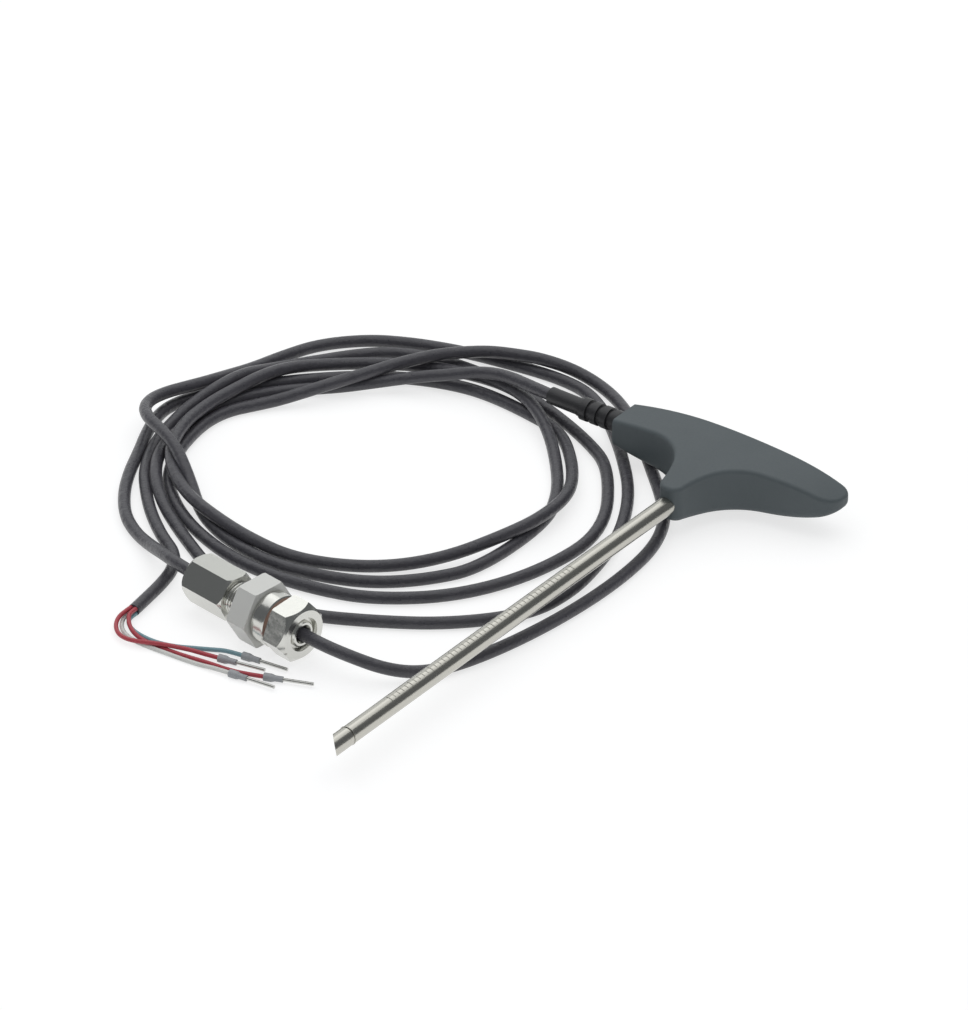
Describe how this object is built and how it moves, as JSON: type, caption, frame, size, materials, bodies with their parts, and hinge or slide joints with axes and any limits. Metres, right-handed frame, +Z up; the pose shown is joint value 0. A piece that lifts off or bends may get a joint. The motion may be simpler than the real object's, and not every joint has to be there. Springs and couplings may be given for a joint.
{
  "type": "meat probe",
  "caption": "Core temperature probe with a moulded T-shaped grip, a slant-cut steel needle, a coiled cable, a threaded panel gland and ferruled wire ends.",
  "frame": {"origin": "centre of the foot of the box round the grip, needle and gland, on the surface they lie on", "axes": "+Y back along the needle from its point to the grip, +Z up from the surface, +X to the right"},
  "size_m": [0.22, 0.2284, 0.0196],
  "materials": {
    "handle_plastic": "fine satin",
    "needle_steel": "polished",
    "plated_brass": "bright nickel plate",
    "zinc_steel": "matt zinc plate",
    "gasket_rubber": "matt",
    "seal_rubber": "matt",
    "ring_plastic": "natural",
    "boot_rubber": "satin",
    "cable_jacket": "gloss",
    "core_insulation": "natural",
    "sensor_ceramic": "glazed",
    "wire_white": "smooth",
    "wire_red": "smooth",
    "wire_teal": "smooth",
    "ferrule_plastic": "smooth",
    "ferrule_tin": "tinned"
  },
  "bodies": {
    "root": {"handle": "handle_plastic", "strain_relief": "boot_rubber", "needle_tube": "needle_steel", "needle_tip": "needle_steel", "sensor_element": "sensor_ceramic", "needle_core": "core_insulation", "gland_body": "plated_brass", "gland_locknut": "zinc_steel", "gland_collar": "plated_brass", "gland_gasket": "gasket_rubber", "compression_nut": "plated_brass", "cable_seal": "seal_rubber", "compression_ring": "ring_plastic", "bell_mouth": "plated_brass", "cable_end": "cable_jacket", "cable_lead": "cable_jacket", "cable_coil": "cable_jacket", "cable_loop": "cable_jacket", "cable_tail": "cable_jacket", "wire_white": "wire_white", "ferrule_white_sleeve": "ferrule_plastic", "ferrule_white_pin": "ferrule_tin", "wire_red_b": "wire_red", "ferrule_red_b_sleeve": "ferrule_plastic", "ferrule_red_b_pin": "ferrule_tin", "wire_red_a": "wire_red", "ferrule_red_a_sleeve": "ferrule_plastic", "ferrule_red_a_pin": "ferrule_tin", "wire_teal": "wire_teal", "ferrule_teal_sleeve": "ferrule_plastic", "ferrule_teal_pin": "ferrule_tin"}
  },
  "joints": []
}
